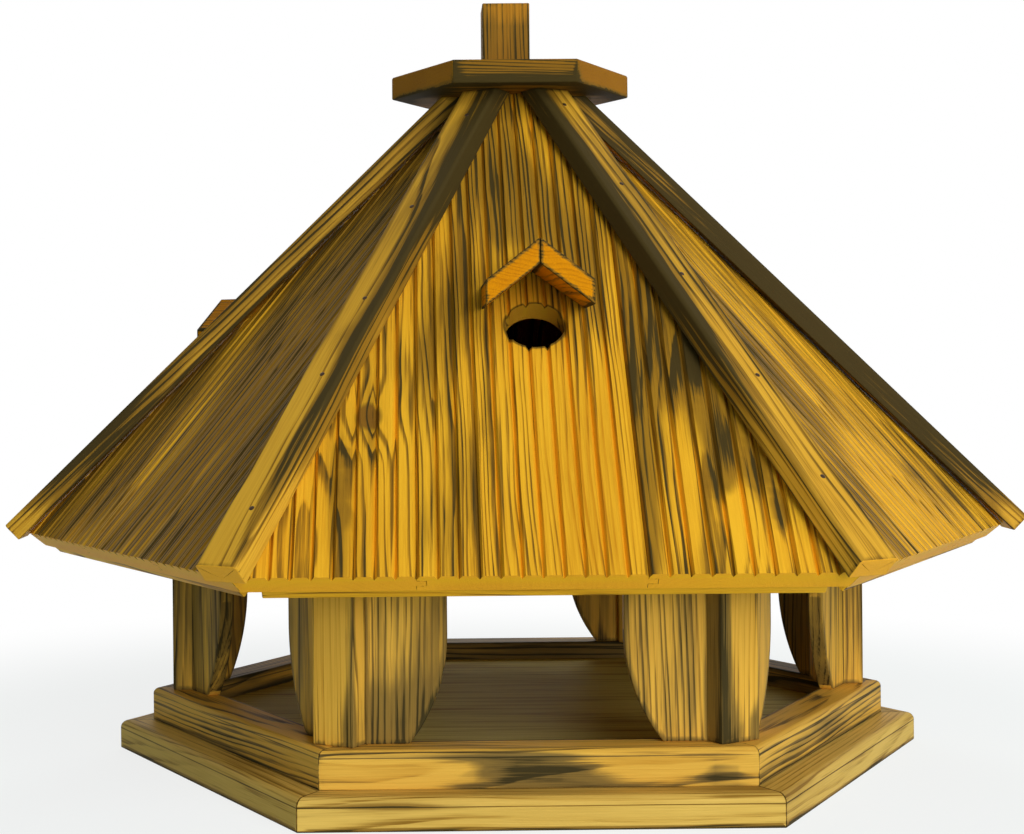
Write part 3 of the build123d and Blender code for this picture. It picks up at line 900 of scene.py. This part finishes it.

# %% [markdown]
# ## Grooved roof boards
# The roof is matchboard: tongued boards with V-grooves planed along them, eleven ribs to a board, and the
# CAD model has them. Each panel is laid flat on the bench, cut into rows that can carry the flame marks and
# the painted shade, and put back on the roof. A bevel would blur the crisp grooves, so the faces stay flat
# and sharp.

# %% Mark and place the six panels
# Corners below the face, down to the groove's depth, lie in a groove. Steep faces no farther from the middle
# of the hole than its radius are the bore.
ROWS = 56
FACE_DEPTH, SLACK = 1.0, 0.3
STEEP = 0.3
for side, angle in side_angles.items():
    node = "roof_panel_" + side
    matrix = panel_frame(angle)
    bm = bmesh.new()
    bm.from_mesh(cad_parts[node].data)
    bm.transform(matrix.inverted())
    merge_flat(bm, 0.5)
    low, high = min(v.co.y for v in bm.verts), max(v.co.y for v in bm.verts)
    for i in range(1, ROWS):
        cut_through(bm, (0, low + (high - low) * i / ROWS, 0), (0, 1, 0))
    ribbed = bpy.data.meshes.new(node + "_wood")
    bm.to_mesh(ribbed)
    bm.free()
    x, y, z = corners(ribbed).T / MM
    store(ribbed, "groove", ((z < -FACE_DEPTH) & (z > -groove_depth - SLACK)).astype(float))
    aside, up = hole_place.get(side, (FAR_AWAY, FAR_AWAY))
    store(ribbed, "hole", np.stack([x - aside, y - up, 0 * z], 1))
    middles = np.array([polygon.center for polygon in ribbed.polygons]) / MM
    upright_faces = np.abs([polygon.normal.z for polygon in ribbed.polygons]) < STEEP
    near_hole = np.hypot(middles[:, 0] - aside, middles[:, 1] - up) < hole_radius + SLACK
    store(ribbed, "bore", (upright_faces & near_hole).astype(float), "FACE")
    ribbed.transform(matrix)
    write_wood(ribbed, node, np.zeros(len(x)))
    finished(node + "_boards", ribbed, woods["roof_boards"], "roof_boards", node, rounded=False)
    print(node, len(ribbed.polygons), "faces")

# %% [markdown]
# ## Nails in the hip battens
# Each batten is held by a row of small nails, driven flush and blackened with the wood. A row of points
# with a little chance in it carries the heads, and the row is turned round the six hips.

# %% Make and run a geometry tree
def new_tree(name, inputs):
    """A geometry tree with a geometry in and out and the named inputs."""
    tree = bpy.data.node_groups.new(name, "GeometryNodeTree")
    tree.interface.new_socket("Geometry", in_out="INPUT", socket_type="NodeSocketGeometry")
    for label, kind in inputs:
        tree.interface.new_socket(label, in_out="INPUT", socket_type="NodeSocket" + kind)
    tree.interface.new_socket("Geometry", in_out="OUTPUT", socket_type="NodeSocketGeometry")
    return functools.partial(add_node, tree), tree, add_node(tree, "NodeGroupInput")


def run_tree(tree, mesh, values):
    """The plain mesh that a geometry tree makes from a mesh and its inputs."""
    blank = bpy.data.objects.new("on the bench", mesh)
    scene.collection.objects.link(blank)
    modifier = blank.modifiers.new("tree", "NODES")
    modifier.node_group = tree
    for item in tree.interface.items_tree:
        if item.in_out == "INPUT" and item.name in values:
            modifier[item.identifier] = values[item.name]
    made = bpy.data.meshes.new_from_object(blank.evaluated_get(bpy.context.evaluated_depsgraph_get()))
    blank.modifiers.remove(modifier)
    bpy.data.objects.remove(blank)
    return made


print("a tree runs on the bench and leaves a plain mesh")

# %% [markdown]
# The tree counts through all nails. The count divided by the nails in a row tells the hip, the rest tells
# the place in the row.

# %% The nail tree
put, nail_tree, given = new_tree("nail rows", [
    ("Nails", "Int"), ("Start", "Vector"), ("Step", "Vector"), ("Lean", "Float"), ("Radius", "Float"),
    ("Stray", "Float"), ("Seed", "Int"), ("Material", "Material"),
])
count = put("ShaderNodeMath", {0: given["Nails"], 1: SIDES}, operation="MULTIPLY")[0]
spots = put("GeometryNodeMeshLine", {"Count": count, "Offset": (0, 0, 0)}, mode="OFFSET")[0]
index = put("GeometryNodeInputIndex")[0]
hip = put("ShaderNodeMath", {0: index, 1: given["Nails"]}, operation="DIVIDE")[0]
hip = put("ShaderNodeMath", {0: hip}, operation="FLOOR")[0]
step = put("ShaderNodeMath", {0: index, 1: given["Nails"]}, operation="MODULO")[0]
uneven = put("FunctionNodeRandomValue", {2: -0.15, 3: 0.15, "Seed": given["Seed"]}, data_type="FLOAT")[1]
step = put("ShaderNodeMath", {0: step, 1: uneven}, operation="ADD")[0]
along = put("ShaderNodeVectorMath", {0: given["Step"], "Scale": step}, operation="SCALE")[0]
place = put("ShaderNodeVectorMath", {0: given["Start"], 1: along}, operation="ADD")[0]
aside = put("FunctionNodeRandomValue", {2: -1.0, 3: 1.0, "Seed": 5}, data_type="FLOAT")[1]
aside = put("ShaderNodeMath", {0: aside, 1: given["Stray"]}, operation="MULTIPLY")[0]
aside = put("ShaderNodeCombineXYZ", {"X": aside})[0]
place = put("ShaderNodeVectorMath", {0: place, 1: aside}, operation="ADD")[0]
turn = put("ShaderNodeMath", {
    0: hip, 1: math.radians(SIDE_TURN), 2: math.radians(HALF_TURN),
}, operation="MULTIPLY_ADD")[0]
place = put("ShaderNodeVectorRotate", {"Vector": place, "Axis": (0, 0, 1), "Angle": turn})[0]
spots = put("GeometryNodeSetPosition", {"Geometry": spots, "Position": place})[0]
head = put("GeometryNodeMeshUVSphere", {"Segments": 10, "Rings": 6, "Radius": given["Radius"]})[0]
head = put("GeometryNodeTransform", {"Geometry": head, "Scale": (1, 1, 0.35)})[0]
facing = put("ShaderNodeCombineXYZ", {"X": given["Lean"], "Z": turn})[0]
heads = put("GeometryNodeInstanceOnPoints", {"Points": spots, "Instance": head, "Rotation": facing})[0]
heads = put("GeometryNodeRealizeInstances", {0: heads})[0]
heads = put("GeometryNodeSetMaterial", {"Geometry": heads, "Material": given["Material"]})[0]
put("NodeGroupOutput", [heads])
print("nodes in the nail tree:", len(nail_tree.nodes))

# %% [markdown]
# ### Blackened steel
# The nails are bright steel wire that went through the flame: dark, a little blue-brown, with a dull shine.

# %% Nail steel and the nails
SOOT_SPOT = 0.6
steel, put = new_material("flame-blackened nail steel")
where = put("ShaderNodeTexCoord")["Object"]
soot = put("ShaderNodeTexNoise", {"Vector": where, "Scale": 1 / (SOOT_SPOT * MM), "Detail": 2.0})["Fac"]
tint = put("ShaderNodeMix", {0: soot, 6: linear("#2A2118"), 7: linear("#4A3520")}, data_type="RGBA")[2]
dull = put("ShaderNodeMapRange", {"Value": soot, "To Min": 0.4, "To Max": 0.65})[0]
surface = put("ShaderNodeBsdfPrincipled", {"Base Color": tint, "Metallic": 0.8, "Roughness": dull})[0]
put("ShaderNodeOutputMaterial", [surface])

# In a row: how many nails, the first and the next ones along the hip, their radius and how far they stray.
NAILS, FIRST_NAIL, NAIL_STEP, NAIL_RADIUS, NAIL_STRAY = 5, 45, 82, 1.5, 4
hip_along, hip_out = slope_axes(hip_angle)
hip_foot = Vector((0, -eave_corner, eave_height))
nails = run_tree(nail_tree, bpy.data.meshes.new("no wood"), {
    "Nails": NAILS, "Start": (hip_foot + hip_along * FIRST_NAIL + hip_out * hip_rise) * MM,
    "Step": hip_along * NAIL_STEP * MM, "Lean": hip_angle, "Radius": NAIL_RADIUS * MM,
    "Stray": NAIL_STRAY * MM, "Seed": 3, "Material": steel,
})
finished("hip_nails", nails, steel, "hip_battens")
print("nail heads:", len(nails.polygons), "faces")

# %% [markdown]
# ## Finish

# %% Finish
scene.view_settings.view_transform = "Standard"
